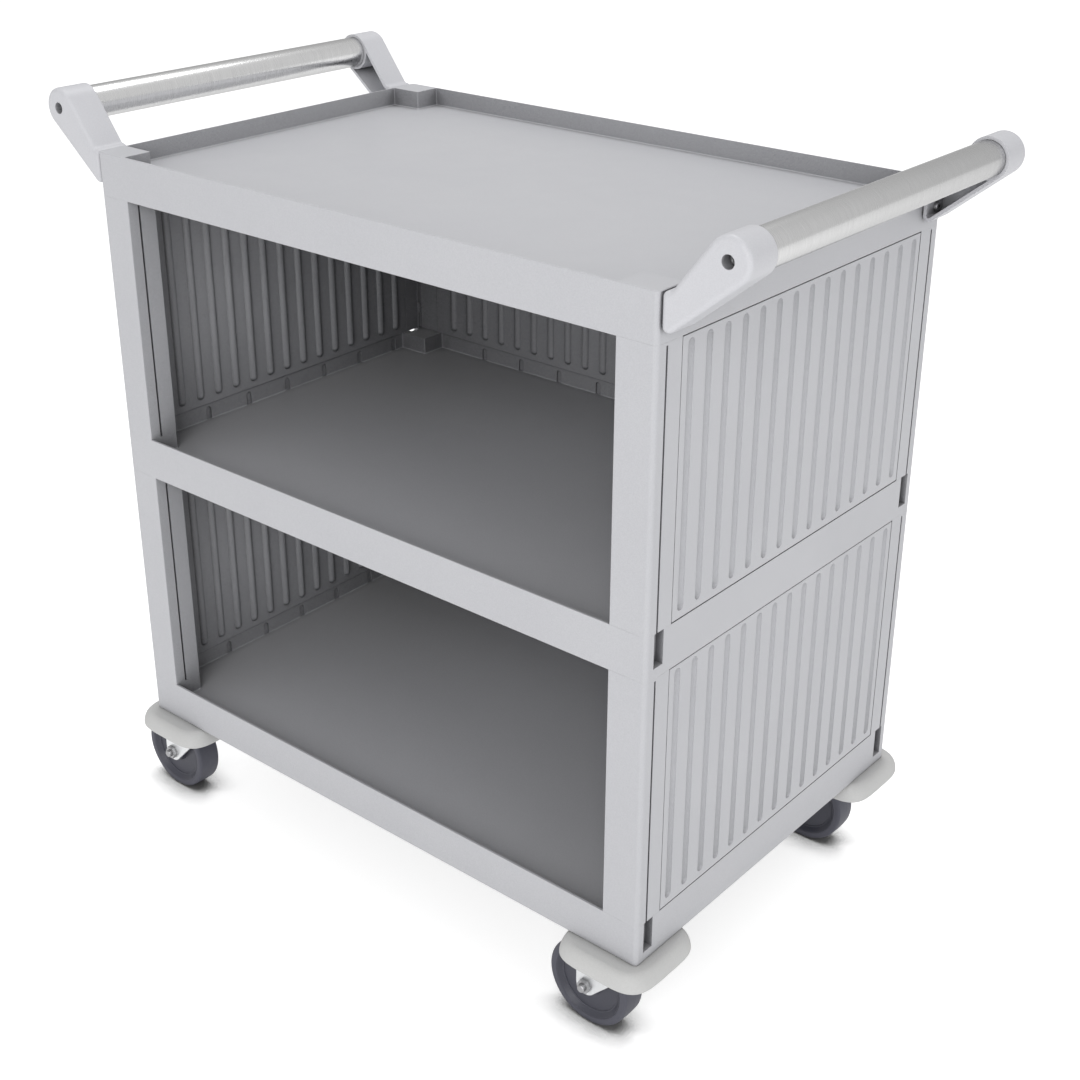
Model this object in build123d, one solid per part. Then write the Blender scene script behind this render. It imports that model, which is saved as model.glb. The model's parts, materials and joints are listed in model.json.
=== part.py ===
"""Housekeeping cart: a three-shelf moulded service cart on four swivel casters.

Millimetres, +Z up. The origin is on the floor under the middle of the cart,
+X runs along the length (handle to handle), the open side faces -Y.
Every solid is written to parts/NODE.step, one file for each node.
"""
from build123d import *
import math
import os

os.makedirs("parts", exist_ok=True)

# ---------------------------------------------------------------- driving sizes
LENGTH = 778.0           # body, along X
WIDTH = 508.0            # body, along Y
BASE_Z = 129.5           # underside of the body above the floor
BAND = 49.5              # height of one shelf moulding
BAY = 289.2              # clear height between two shelves
BODY_EDGE = 5.0          # radius of the vertical body corners
LIP_EDGE = 0.8           # softened top and bottom edges of a shelf

RIM = 2.6                # thickness of the tray rim
TRAY_DEPTH = 22.0        # rim top down to the tray floor
FLOOR_T = 3.0            # thickness of the tray floor
TRAY_FILLET = 1.5        # round between the tray floor and the rim
SKIN = 3.0               # moulded wall thickness under the floor

POST_X = 45.0            # corner block and post, along the length
POST_Y = 38.0            # corner block and post, along the width
SLOT_Y = 15.3            # accessory slot, from the corner
SLOT_W = 2.6
SLOT_DEPTH = 10.0
SPIGOT = 18.0            # how far a front post reaches into a shelf
FIT = 0.2                # slip clearance of fixed joints

WINDOW_Y = 11.6          # latch window, from the corner
WINDOW_W = 14.8
WINDOW_H = 37.8
WINDOW_DEPTH = 9.0

PANEL_T = 4.4            # ribbed panels and rear corner angles
SEAM = 1.1               # shadow line round a panel
FLUTE_W = 10.0
FLUTE_DEPTH = 3.8
FLUTE_TOP = 5.0          # plain margin over the flutes
FLUTE_FOOT = 9.0         # plain margin under the flutes
END_FLUTES = 15
END_PITCH = 28.84
BACK_FLUTES = 23
BACK_PITCH = 29.0
LAP = 7.0                # lap of a panel edge behind a corner angle
SEAM_DEPTH = 3.0         # thickness of the part that shows, down to the lap

NOTCH_W = 8.0            # shallow scallops inside the rim of the lower shelves
NOTCH_H = 17.0
NOTCH_DEEP = 1.8
NOTCH_PITCH = 66.0

TUBE_R = 19.0            # handle tube, 38 mm
TUBE_WALL = 1.6
TUBE_END_CAP = 5.0       # welded, tapped disc in each tube end
ARM_GAP = 1.5            # shadow gap between an arm's foot and the cart
ARM_Y_INSET = 1.5        # outer face of an arm, in from the side of the body
ARM_DEPTH = 40.0         # width of an arm along Y
ARM_WALL = 3.6
ARM_EDGE = 5.0           # rounded outer edge
BOSS_R = 22.5
BOSS_REACH = 67.0        # tube axis beyond the end of the body
BOSS_OVER = 39.0         # tube axis above the shelf top
BOSS_CORE = 17.0         # solid end of the socket that holds the tube
SCREW_SEAT = 3.5         # what is left under the end screw's head
FOOT_TOP = 1.0           # top of the foot above the shelf top
FOOT_HEIGHT = 38.2
TOE_R = 6.0              # rounds of the arm's side view
SHOULDER_R = 5.3
THROAT_R = 6.0
SCREW_HOLE = 13.0        # deep screw well on the outer face

PAD = 117.0              # corner bumper, square in plan
PAD_CORNER = 31.0
PAD_T = 20.7
PAD_EDGE = 10.3
PAD_CAVITY = 96.0
PAD_ROOF = 3.0

PIVOT_X = 39.6           # swivel axis, in from the end of the body
PIVOT_Y = 34.4           # swivel axis, in from the side of the body
TRAIL = 37.9             # axle behind the swivel axis
WHEEL_R = 52.9
WHEEL_W = 31.3
TREAD_EDGE = 2.0
TYRE_INNER_R = 43.3
HUB_R = 16.0
BORE_R = 9.0
RUN_FIT = 0.06           # radial play of the bearings
AXLE_R = 4.8
LEG_INNER = 16.5         # fork legs, from the middle of the wheel
LEG_T = 2.7
LEG_END_R = 13.0
NUT_AF = 15.0
NUT_T = 4.8
AXLE_END = 28.5
PLATE = 64.0             # caster mounting plate
PLATE_T = 3.0
PLATE_HOLES = 48.0
BALL_R = 2.5
BALL_RING_R = 19.0
BALL_COUNT = 20

# ---------------------------------------------------------------- derived places
HL = LENGTH / 2
HW = WIDTH / 2
PITCH_Z = BAND + BAY
BOTTOM_TOP = BASE_Z + BAND
MIDDLE_TOP = BOTTOM_TOP + PITCH_Z
TOP_TOP = MIDDLE_TOP + PITCH_Z
SHELF_TOPS = {"bottom": BOTTOM_TOP, "middle": MIDDLE_TOP, "top": TOP_TOP}
BAYS = {"lower": BOTTOM_TOP, "upper": MIDDLE_TOP}
CORNERS = {
    "front_left": (-1, -1),
    "front_right": (1, -1),
    "rear_left": (-1, 1),
    "rear_right": (1, 1),
}
TUBE_Z = TOP_TOP + BOSS_OVER
TUBE_X = HL + BOSS_REACH
BOSS_HEIGHT = FOOT_HEIGHT - FOOT_TOP + BOSS_OVER
CORNER_ALIGN = (Align.MIN, Align.MIN, Align.MIN)


def save(shape, name):
    """Write one node."""
    export_step(shape, f"parts/{name}.step")


def block(x0, x1, y0, y1, z0, z1):
    """A box between two corners."""
    low = Pos(min(x0, x1), min(y0, y1), min(z0, z1))
    return low * Box(abs(x1 - x0), abs(y1 - y0), abs(z1 - z0), align=CORNER_ALIGN)


def at_corner(shape, sx, sy):
    """Turn a shape drawn for the front-left corner into the one at a given corner.

    Drawn at the front left, x and y both run inward from the body's corner.
    """
    out = shape
    if sx > 0:
        out = out.mirror(Plane.YZ)
    if sy > 0:
        out = out.mirror(Plane.XZ)
    return Pos(sx * HL, sy * HW, 0) * out


def whole(shape):
    """The single solid of a boolean result."""
    solids = shape.solids()
    if len(solids) != 1:
        raise ValueError(f"expected one solid, got {len(solids)}")
    return solids[0]


# ---------------------------------------------------------------- shelves
def tray_outline(inset, corner_round):
    """Plan of the tray: a rectangle that steps round the four corner blocks."""
    plan = Rectangle(LENGTH - 2 * inset, WIDTH - 2 * inset)
    for sx, sy in CORNERS.values():
        plan -= Pos(sx * HL, sy * HW) * Rectangle(2 * POST_X, 2 * POST_Y)
    return fillet(plan.vertices(), corner_round)


def shelf_body(name):
    """Outer band, tray recess above the floor and open ribbed underside.

    Only the free edges are softened, so that posts and bands meet flush.
    """
    top = SHELF_TOPS[name]
    z0 = top - BAND
    body = Pos(0, 0, z0) * Box(LENGTH, WIDTH, BAND, align=(Align.CENTER, Align.CENTER, Align.MIN))
    body = fillet(body.edges().filter_by(Axis.Z), BODY_EDGE)
    if name == "top":
        body = chamfer(body.faces().sort_by(Axis.Z)[-1].edges(), LIP_EDGE)
    if name == "bottom":
        body = chamfer(body.faces().sort_by(Axis.Z)[0].edges(), LIP_EDGE)

    tray = Pos(0, 0, top - TRAY_DEPTH) * extrude(tray_outline(RIM, 1.6), TRAY_DEPTH + 1)
    tray = fillet(tray.faces().sort_by(Axis.Z)[0].edges(), TRAY_FILLET)
    body -= tray

    under_h = BAND - TRAY_DEPTH - FLOOR_T
    body -= Pos(0, 0, z0 - 1) * extrude(tray_outline(SKIN, 1.6), under_h + 1)
    return body + floor_ribs(z0, under_h)


def floor_ribs(z0, height):
    """Stiffening ribs under the tray floor, set up a little from the lower edge."""
    rib_t = 2.4
    lift = 6.0
    lengthways = (-WIDTH / 6, WIDTH / 6)
    crossways = (-LENGTH / 3.2, -LENGTH / 9.6, LENGTH / 9.6, LENGTH / 3.2)
    ribs = Part()
    for y in lengthways:
        ribs += block(-HL + 1.5, HL - 1.5, y - rib_t / 2, y + rib_t / 2, z0 + lift, z0 + height + 1)
    for x in crossways:
        ribs += block(x - rib_t / 2, x + rib_t / 2, -HW + 1.5, HW - 1.5, z0 + lift, z0 + height + 1)
    return ribs


def front_post_core(z0, z1, grow):
    """Spigot of a front post, drawn at the front-left corner."""
    return block(13 - grow, 32 + grow, 5 - grow, 33 + grow, z0, z1)


def rear_post_tongues(z0, z1, grow):
    """Two short tongues under a rear corner angle, drawn with y inward."""
    along_back = block(14 - grow, 40 + grow, 1.2 - grow, 3.4 + grow, z0, z1)
    along_end = block(1.2 - grow, 3.4 + grow, 28 - grow, 35 + grow, z0, z1)
    return along_back + along_end


def latch_window(top):
    """Deep rectangular window notched into the band's top edge at a corner."""
    y0 = WINDOW_Y
    y1 = WINDOW_Y + WINDOW_W
    z0 = top - WINDOW_H
    recess = block(-1, WINDOW_DEPTH, y0, y1, z0, top + 1)
    keyhole = block(-1, WINDOW_DEPTH + 3.0, y0 + 3.2, y0 + 8.4, z0 + 7, top + 1)
    return recess + keyhole


def rim_notch(top):
    """Scallop on the inside of the rim, drawn at x = 0 facing +X."""
    floor = top - TRAY_DEPTH
    shank = block(-NOTCH_DEEP, 3, -NOTCH_W / 2, NOTCH_W / 2, floor, floor + NOTCH_H - NOTCH_W / 2)
    cap = Pos(-NOTCH_DEEP, 0, floor + NOTCH_H - NOTCH_W / 2) * Rot(0, 90, 0) * Cylinder(
        NOTCH_W / 2, 3 + NOTCH_DEEP, align=(Align.CENTER, Align.CENTER, Align.MIN))
    return shank + cap


def cut_notches(body, top):
    """Rows of scallops along both ends and the back of a lower shelf."""
    one = rim_notch(top)
    for step in range(-3, 4):
        y = step * NOTCH_PITCH
        body -= Pos(-HL + RIM, y, 0) * one
        body -= Pos(HL - RIM, y, 0) * one.mirror(Plane.YZ)
    for step in range(-4, 5):
        body -= Pos(step * NOTCH_PITCH, HW - RIM, 0) * (Rot(0, 0, -90) * one)
    return body


def caster_seats(z0):
    """Solid seats under the bottom shelf that the caster screws bite into."""
    half = PLATE / 2 + 3
    seats = Part()
    for sx, sy in CORNERS.values():
        x = sx * (HL - PIVOT_X)
        y = sy * (HW - PIVOT_Y)
        reach_x = sx * (HL - 1.5)
        reach_y = sy * (HW - 1.5)
        seats += block(x - sx * half, reach_x, y - sy * half, reach_y, z0, z0 + BAND - TRAY_DEPTH - 1)
    return seats


def make_shelf(name):
    """One shelf with the sockets that its level needs."""
    top = SHELF_TOPS[name]
    z0 = top - BAND
    body = shelf_body(name)
    if name == "bottom":
        body += caster_seats(z0)
    for where, (sx, sy) in CORNERS.items():
        front = where.startswith("front")
        if name != "top":
            body -= at_corner(latch_window(top), sx, sy)
            socket = front_post_core(top - SPIGOT - 2, top + 1, FIT)
            if not front:
                socket = rear_post_tongues(top - 11, top + 1, FIT)
            body -= at_corner(socket, sx, sy)
        if name != "bottom":
            socket = front_post_core(z0 - 1, z0 + SPIGOT + 2, FIT)
            if not front:
                socket = rear_post_tongues(z0 - 1, z0 + 11, FIT)
            body -= at_corner(socket, sx, sy)
    if name != "top":
        body = cut_notches(body, top)
    if name == "bottom":
        body -= screw_holes_for_casters(z0)
    if name == "top":
        body -= arm_bolt_holes()
    return whole(body)


def screw_holes_for_casters(z0):
    """Pilot holes for the sixteen caster screws."""
    holes = Part()
    for x, y in caster_screw_places():
        holes += Pos(x, y, z0 - 1) * Cylinder(3.05, 20, align=(Align.CENTER, Align.CENTER, Align.MIN))
    return holes


# ---------------------------------------------------------------- posts
def accessory_slots(z0, z1):
    """Narrow slots on the outer and the inner face of a front post."""
    outer = block(-1, SLOT_DEPTH, SLOT_Y - SLOT_W / 2, SLOT_Y + SLOT_W / 2, z0, z1)
    inner = block(POST_X - SLOT_DEPTH, POST_X + 1, SLOT_Y - SLOT_W / 2, SLOT_Y + SLOT_W / 2, z0, z1)
    return outer + inner


def make_front_post(z0):
    """Hollow H-section column with a spigot at each end, at the front-left corner."""
    z1 = z0 + BAY
    plan = Pos(POST_X / 2, POST_Y / 2) * Rectangle(POST_X, POST_Y)
    outer_corner = plan.vertices().sort_by(Axis.X)[:2].sort_by(Axis.Y)[0]
    column = Pos(0, 0, z0) * extrude(fillet(outer_corner, BODY_EDGE), BAY)
    soft = [e for e in column.edges().filter_by(Axis.Z) if e.center().X > POST_X - 1]
    column = fillet(soft, 1.0)
    column -= accessory_slots(z0 - 1, z1 - 3)

    near = block(3, POST_X - 3, 3, SLOT_Y - 4.1, z0 - 30, z1 + 30)
    far = block(3, POST_X - 3, SLOT_Y + 4.1, POST_Y - 3, z0 - 30, z1 + 30)
    middle = block(SLOT_DEPTH + 3.6, POST_X - SLOT_DEPTH - 3.6, 6, 30, z0 - 30, z1 + 30)
    column -= near + far + middle

    core = front_post_core(z0 - SPIGOT, z1 + SPIGOT, 0)
    bore = block(16, 29, 8, 30, z0 - SPIGOT - 1, z1 + SPIGOT + 1)
    return column + (core - bore)


def make_rear_post(z0):
    """Corner angle with an outer slot and an inner corner slit, at the front-left corner."""
    z1 = z0 + BAY
    back_leg = block(0, POST_X, 0, PANEL_T, z0, z1)
    end_leg = block(0, PANEL_T, 0, POST_Y, z0, z1)
    angle = back_leg + end_leg
    corner = [e for e in angle.edges().filter_by(Axis.Z) if e.center().X < 0.1 and e.center().Y < 0.1]
    angle = fillet(corner, BODY_EDGE)
    bead = 4.0
    angle += block(PANEL_T - 0.5, PANEL_T + bead, PANEL_T - 0.5, PANEL_T + bead, z0, z1)

    slit_w = 3.0
    for low, high in ((z0, z0 + 22.5), (z0 + 36, z1 - 40), (z1 - 26, z1)):
        cut = Pos(PANEL_T + bead, PANEL_T + bead, low) * Rot(0, 0, 45) * Box(
            2 * 6.0, slit_w, high - low, align=(Align.CENTER, Align.CENTER, Align.MIN))
        angle -= cut
    angle -= block(-1, SLOT_DEPTH * 0.32, SLOT_Y - SLOT_W / 2, SLOT_Y + SLOT_W / 2, z0 - 1, z1 - 3)

    lap_end = block(SEAM_DEPTH, PANEL_T + 1, POST_Y - LAP, POST_Y + 1, z0 - 1, z1 + 1)
    lap_back = block(POST_X - LAP, POST_X + 1, SEAM_DEPTH, PANEL_T + 1, z0 - 1, z1 + 1)
    angle -= lap_end + lap_back
    tongues = rear_post_tongues(z0 - 10, z0 + 1, 0) + rear_post_tongues(z1 - 1, z1 + 10, 0)
    return whole(angle + tongues)


def make_posts():
    """Eight posts: columns at the open side, slim angles at the back."""
    for bay, z0 in BAYS.items():
        for where, (sx, sy) in CORNERS.items():
            front = where.startswith("front")
            shape = make_front_post(z0) if front else make_rear_post(z0)
            save(whole(at_corner(shape, sx, sy)), f"{bay}_{where}_post")


# ---------------------------------------------------------------- ribbed panels
def flute_tool(radius, depth, length):
    """Round-ended trough cutter along Z, its deepest line on x = depth."""
    ball = radius
    run = length - 2 * ball
    tool = Cylinder(ball, run)
    tool += Pos(0, 0, run / 2) * Sphere(ball)
    tool += Pos(0, 0, -run / 2) * Sphere(ball)
    return Pos(depth - ball, 0, 0) * tool


def ribbed_panel(width, count, pitch, lap_front, lap_rear):
    """Panel drawn standing in the YZ plane: outer face on x = 0, inside at +x.

    It is centred on y = 0 and reaches from z = 0 to z = BAY. Laps are thin tongues
    that slip behind a corner angle.
    """
    half = width / 2
    inner = block(SEAM_DEPTH - 0.2, PANEL_T, -half, half, 0, BAY)
    inner += block(SEAM_DEPTH + 0.1, PANEL_T, -half - lap_front, half + lap_rear, 0, BAY)
    outer = block(0, SEAM_DEPTH, -half + SEAM, half - SEAM, SEAM, BAY - SEAM)
    outer = chamfer(outer.faces().sort_by(Axis.X)[0].edges(), 0.35)
    panel = inner + outer
    length = BAY - FLUTE_TOP - FLUTE_FOOT
    mid_z = (BAY - FLUTE_TOP + FLUTE_FOOT) / 2
    radius = FLUTE_W / 2 + 0.1
    rib = flute_tool(radius + 1.3, FLUTE_DEPTH + PANEL_T - 0.4, length + 4)
    groove = flute_tool(radius, FLUTE_DEPTH, length)
    places = [(i - (count - 1) / 2) * pitch for i in range(count)]
    keep = block(1.0, 20, -half, half, 1, BAY - 1)
    for y in places:
        panel += Pos(0, y, mid_z) * (rib & keep_local(keep, y, mid_z))
    for y in places:
        panel -= Pos(0, y, mid_z) * groove
    return panel


def keep_local(keep, y, mid_z):
    """The panel's inner zone in a rib's own coordinates."""
    return Pos(0, -y, -mid_z) * keep


def make_panels():
    """Four end panels and two back panels."""
    end_width = WIDTH - 2 * POST_Y
    back_width = LENGTH - 2 * POST_X
    end_panel = ribbed_panel(end_width, END_FLUTES, END_PITCH, 0, LAP - 0.3)
    back_panel = ribbed_panel(back_width, BACK_FLUTES, BACK_PITCH, LAP - 0.3, LAP - 0.3)
    for bay, z0 in BAYS.items():
        left = Pos(-HL, 0, z0) * end_panel
        save(whole(left), f"{bay}_left_end_panel")
        save(whole(left.mirror(Plane.YZ)), f"{bay}_right_end_panel")
        back = Pos(0, HW, z0) * Rot(0, 0, -90) * back_panel
        save(whole(back), f"{bay}_back_panel")


# ---------------------------------------------------------------- handles
def on_circle(centre, radius, angle):
    """A point on a circle, the angle in radians."""
    return (centre[0] + radius * math.cos(angle), centre[1] + radius * math.sin(angle))


def arm_outline():
    """Side view of a handle arm: x outward from the body's end, y up from the foot's bottom.

    The foot's top runs through a small hollow into a straight line up to the boss, and
    a second straight line comes back from under the boss to the foot's bottom.
    """
    boss = (BOSS_REACH, BOSS_HEIGHT)
    toe = (ARM_GAP + TOE_R, TOE_R)
    shoulder = (ARM_GAP + SHOULDER_R, FOOT_HEIGHT - SHOULDER_R)
    throat = (ARM_GAP + SHOULDER_R, FOOT_HEIGHT + THROAT_R)

    dx = boss[0] - throat[0]
    dy = boss[1] - throat[1]
    rise = math.atan2(dy, dx) + math.asin((BOSS_R + THROAT_R) / math.hypot(dx, dy))
    dx = boss[0] - toe[0]
    dy = boss[1] - toe[1]
    back = math.atan2(dy, dx) - math.asin((BOSS_R - TOE_R) / math.hypot(dx, dy))

    up = math.pi / 2
    crown = on_circle(shoulder, SHOULDER_R, up)
    leave_throat = on_circle(throat, THROAT_R, rise - up)
    meet_boss = on_circle(boss, BOSS_R, rise + up)
    leave_boss = on_circle(boss, BOSS_R, back - up)
    meet_toe = on_circle(toe, TOE_R, back - up)
    edges = [
        Line((ARM_GAP, TOE_R), (ARM_GAP, FOOT_HEIGHT - SHOULDER_R)),
        ThreePointArc((ARM_GAP, shoulder[1]), on_circle(shoulder, SHOULDER_R, 1.5 * up), crown),
        ThreePointArc(crown, on_circle(throat, THROAT_R, (rise - 2 * up) / 2), leave_throat),
        Line(leave_throat, meet_boss),
        ThreePointArc(meet_boss, on_circle(boss, BOSS_R, 0), leave_boss),
        Line(leave_boss, meet_toe),
        ThreePointArc(meet_toe, on_circle(toe, TOE_R, -1.5 * up), (ARM_GAP, TOE_R)),
    ]
    return make_face(edges)


def make_arm():
    """Handle arm for the right-hand front corner, drawn with its end of the body at x = 0.

    Its outer face lies on y = 0 and its open side faces +y; z = 0 is the foot's bottom.
    """
    outline = Plane.XZ * arm_outline()
    solid = extrude(outline, ARM_DEPTH, dir=(0, 1, 0))
    solid = fillet(solid.faces().sort_by(Axis.Y)[0].edges(), ARM_EDGE)

    hollow_plan = offset(arm_outline(), -ARM_WALL)
    hollow = Pos(0, ARM_WALL + 1.0, 0) * extrude(Plane.XZ * hollow_plan, ARM_DEPTH, dir=(0, 1, 0))
    socket_wall = y_cylinder(BOSS_REACH, BOSS_HEIGHT, BOSS_R, 0.5, ARM_DEPTH)
    hollow -= socket_wall
    solid -= hollow
    solid -= y_cylinder(BOSS_REACH, BOSS_HEIGHT, TUBE_R + 0.1, BOSS_CORE, ARM_DEPTH + 1)
    solid -= y_cylinder(BOSS_REACH, BOSS_HEIGHT, SCREW_HOLE / 2, -1, BOSS_CORE - SCREW_SEAT)
    solid -= y_cylinder(BOSS_REACH, BOSS_HEIGHT, 3.3, 0, ARM_DEPTH)
    pad = block(0, ARM_GAP + 0.5, 5, ARM_DEPTH - 4, 5, FOOT_HEIGHT - 5)
    solid += pad
    for z in arm_bolt_heights():
        bolt_hole = Pos(-1, ARM_DEPTH / 2, z) * Rot(0, 90, 0) * Cylinder(
            3.1, 12, align=(Align.CENTER, Align.CENTER, Align.MIN))
        solid -= bolt_hole
    return whole(solid)


def y_cylinder(x, z, radius, y0, y1):
    """A cylinder along Y between two stations."""
    return Pos(x, y0, z) * Rot(-90, 0, 0) * Cylinder(
        radius, y1 - y0, align=(Align.CENTER, Align.CENTER, Align.MIN))


def arm_bolt_heights():
    """Heights of the two foot bolts above the foot's bottom."""
    return (12.0, 27.0)


def arm_frame_z():
    """Height of the bottom of a foot above the floor."""
    return TOP_TOP + FOOT_TOP - FOOT_HEIGHT


def arm_bolt_holes():
    """Tapped holes in the ends of the top shelf."""
    holes = Part()
    for sx, sy in CORNERS.values():
        y = sy * (HW - ARM_Y_INSET - ARM_DEPTH / 2)
        for z in arm_bolt_heights():
            start = Pos(sx * (HL + 1), y, arm_frame_z() + z)
            holes += start * Rot(0, -sx * 90, 0) * Cylinder(
                3.05, 15, align=(Align.CENTER, Align.CENTER, Align.MIN))
    return holes


def place_arm(shape, sx, sy):
    """Carry something drawn with the arm to one of the four corners."""
    out = Pos(HL, -HW + ARM_Y_INSET, arm_frame_z()) * shape
    if sx < 0:
        out = out.mirror(Plane.YZ)
    if sy > 0:
        out = out.mirror(Plane.XZ)
    return out


def make_tube():
    """Handle tube with a tapped disc welded into each end, along Y through the origin."""
    half = HW - ARM_Y_INSET - BOSS_CORE
    tube = y_cylinder(0, 0, TUBE_R, -half, half)
    tube -= y_cylinder(0, 0, TUBE_R - TUBE_WALL, -half + TUBE_END_CAP, half - TUBE_END_CAP)
    return tube - y_cylinder(0, 0, 3.05, -half - 1, half + 1)


def pan_screw(head_r, head_t, shank_r, shank_l):
    """Screw pointing down -Z with its head's underside on z = 0."""
    head = Cylinder(head_r, head_t, align=(Align.CENTER, Align.CENTER, Align.MIN))
    head = fillet(head.edges().sort_by(Axis.Z)[-1], head_t * 0.35)
    head -= Pos(0, 0, head_t - 2) * extrude(RegularPolygon(head_r * 0.45, 6), 3)
    shank = Cylinder(shank_r, shank_l, align=(Align.CENTER, Align.CENTER, Align.MAX))
    return whole(head + shank)


def make_handles():
    """Two tubes, four arms and their screws."""
    arm = make_arm()
    end_screws = []
    foot_bolts = []
    end_screw = Rot(90, 0, 0) * pan_screw(5.4, 3.8, 3.0, 13)
    end_screw = Pos(BOSS_REACH, BOSS_CORE - SCREW_SEAT, BOSS_HEIGHT) * end_screw
    for where, (sx, sy) in CORNERS.items():
        save(whole(place_arm(arm, sx, sy)), f"{where}_handle_arm")
        end_screws.append(whole(place_arm(end_screw, sx, sy)))
        for z in arm_bolt_heights():
            bolt = Pos(ARM_GAP + ARM_WALL, ARM_DEPTH / 2, z) * Rot(0, 90, 0) * pan_screw(5.4, 4.2, 3.0, 16)
            foot_bolts.append(whole(place_arm(bolt, sx, sy)))
    save(Compound(children=end_screws), "handle_end_screws")
    save(Compound(children=foot_bolts), "handle_foot_bolts")
    tube = make_tube()
    save(whole(Pos(-TUBE_X, 0, TUBE_Z) * tube), "left_handle_tube")
    save(whole(Pos(TUBE_X, 0, TUBE_Z) * tube), "right_handle_tube")


# ---------------------------------------------------------------- casters
def pivots():
    """Swivel axis of each caster."""
    return {w: (sx * (HL - PIVOT_X), sy * (HW - PIVOT_Y)) for w, (sx, sy) in CORNERS.items()}


def caster_screw_places():
    """Sixteen screw places, four round each swivel axis."""
    half = PLATE_HOLES / 2
    return [(px + a * half, py + b * half)
            for px, py in pivots().values() for a in (-1, 1) for b in (-1, 1)]


def rounded_square(side, radius):
    """Square plan with round corners."""
    return RectangleRounded(side, side, radius)


def make_bumper():
    """Soft square pad, open underneath, its roof clamped under the body."""
    z1 = BASE_Z
    z0 = BASE_Z - PAD_T
    pad = Pos(0, 0, z0) * extrude(rounded_square(PAD, PAD_CORNER), PAD_T)
    pad = fillet(pad.faces().sort_by(Axis.Z)[-1].edges(), PAD_EDGE)
    pad = fillet(pad.faces().sort_by(Axis.Z)[0].edges(), 1.4)
    pad -= Pos(0, 0, z0 - 1) * extrude(rounded_square(PAD_CAVITY, PAD_CORNER - 12), PAD_T - PAD_ROOF + 1)
    half = PLATE_HOLES / 2
    for a in (-1, 1):
        for b in (-1, 1):
            pad -= Pos(a * half, b * half, z1 - 10) * Cylinder(3.3, 30)
    return whole(pad)


def z_ring(outer, inner, z0, z1):
    """A ring about Z."""
    ring = Cylinder(outer, z1 - z0, align=(Align.CENTER, Align.CENTER, Align.MIN))
    ring -= Cylinder(inner, z1 - z0, align=(Align.CENTER, Align.CENTER, Align.MIN))
    return Pos(0, 0, z0) * ring


PLATE_Z1 = BASE_Z - PAD_ROOF
PLATE_Z0 = PLATE_Z1 - PLATE_T
BALL_Z = PLATE_Z0 - 4.4
CROWN_Z1 = BALL_Z - 0.5
CROWN_Z0 = CROWN_Z1 - 4.0
KINGPIN_R = 5.0


def make_plate():
    """Mounting plate with the upper half of the ball race pressed into it."""
    plate = Pos(0, 0, PLATE_Z0) * extrude(rounded_square(PLATE, 6), PLATE_T)
    race_low = BALL_Z + 0.5
    plate += z_ring(24.0, 13.0, race_low, PLATE_Z0 + 0.5)
    plate -= Pos(0, 0, BALL_Z) * Torus(BALL_RING_R, BALL_R + 0.05)
    plate -= Pos(0, 0, PLATE_Z0 - 1) * Cylinder(
        KINGPIN_R + RUN_FIT, PLATE_T + 2, align=(Align.CENTER, Align.CENTER, Align.MIN))
    half = PLATE_HOLES / 2
    for a in (-1, 1):
        for b in (-1, 1):
            plate -= Pos(a * half, b * half, PLATE_Z0) * Cylinder(3.3, 20)
    return whole(plate)


def make_kingpin():
    """Rivet that holds the fork under the plate."""
    head = Pos(0, 0, CROWN_Z0 - 3.4) * Cylinder(9.5, 3.0, align=(Align.CENTER, Align.CENTER, Align.MIN))
    head = fillet(head.edges().sort_by(Axis.Z)[0], 1.2)
    shank = Pos(0, 0, CROWN_Z0 - 1) * Cylinder(
        KINGPIN_R, PLATE_Z1 - CROWN_Z0 + 1, align=(Align.CENTER, Align.CENTER, Align.MIN))
    return whole(head + shank)


def leg_outline():
    """Fork leg seen from the side; the axle is at the origin, the swivel axis at x = TRAIL."""
    top = CROWN_Z1 - WHEEL_R
    shoulder = BASE_Z - PAD_T - WHEEL_R - 4
    nose = (TRAIL + 24, 46.0)
    back = (-LEG_END_R, shoulder - 8)
    reach = math.atan2(nose[1], nose[0])
    touch = on_circle((0, 0), LEG_END_R, reach - math.acos(LEG_END_R / math.hypot(*nose)))
    low = on_circle((0, 0), LEG_END_R, -2.3)
    edges = [
        Line((-LEG_END_R, 0), back),
        Line(back, (TRAIL - 27, shoulder + 4)),
        Line((TRAIL - 27, shoulder + 4), (TRAIL - 25, top)),
        Line((TRAIL - 25, top), (TRAIL + 25, top)),
        Line((TRAIL + 25, top), nose),
        Line(nose, touch),
        ThreePointArc(touch, low, (-LEG_END_R, 0)),
    ]
    return make_face(edges)


def make_fork():
    """Pressed fork: crown with the lower ball race and two legs, swivel axis on x = y = 0."""
    fork = z_ring(27.0, KINGPIN_R + RUN_FIT, CROWN_Z0, CROWN_Z1)
    fork += block(-25, 25, -LEG_INNER - LEG_T, LEG_INNER + LEG_T, CROWN_Z0, CROWN_Z1)
    side = Plane.XZ * leg_outline()
    for sign in (-1, 1):
        leg = extrude(side, LEG_T, dir=(0, sign, 0))
        outer = leg.faces().sort_by(Axis.Y)[-1 if sign > 0 else 0]
        leg = chamfer(outer.edges(), 0.5)
        fork += Pos(-TRAIL, sign * LEG_INNER, WHEEL_R) * leg
    fork -= Pos(0, 0, BALL_Z) * Torus(BALL_RING_R, BALL_R + 0.3)
    fork -= Pos(0, 0, CROWN_Z0 - 1) * Cylinder(
        KINGPIN_R + RUN_FIT, 10, align=(Align.CENTER, Align.CENTER, Align.MIN))
    return whole(fork - y_cylinder(-TRAIL, WHEEL_R, AXLE_R + 0.1, -40, 40))


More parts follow.
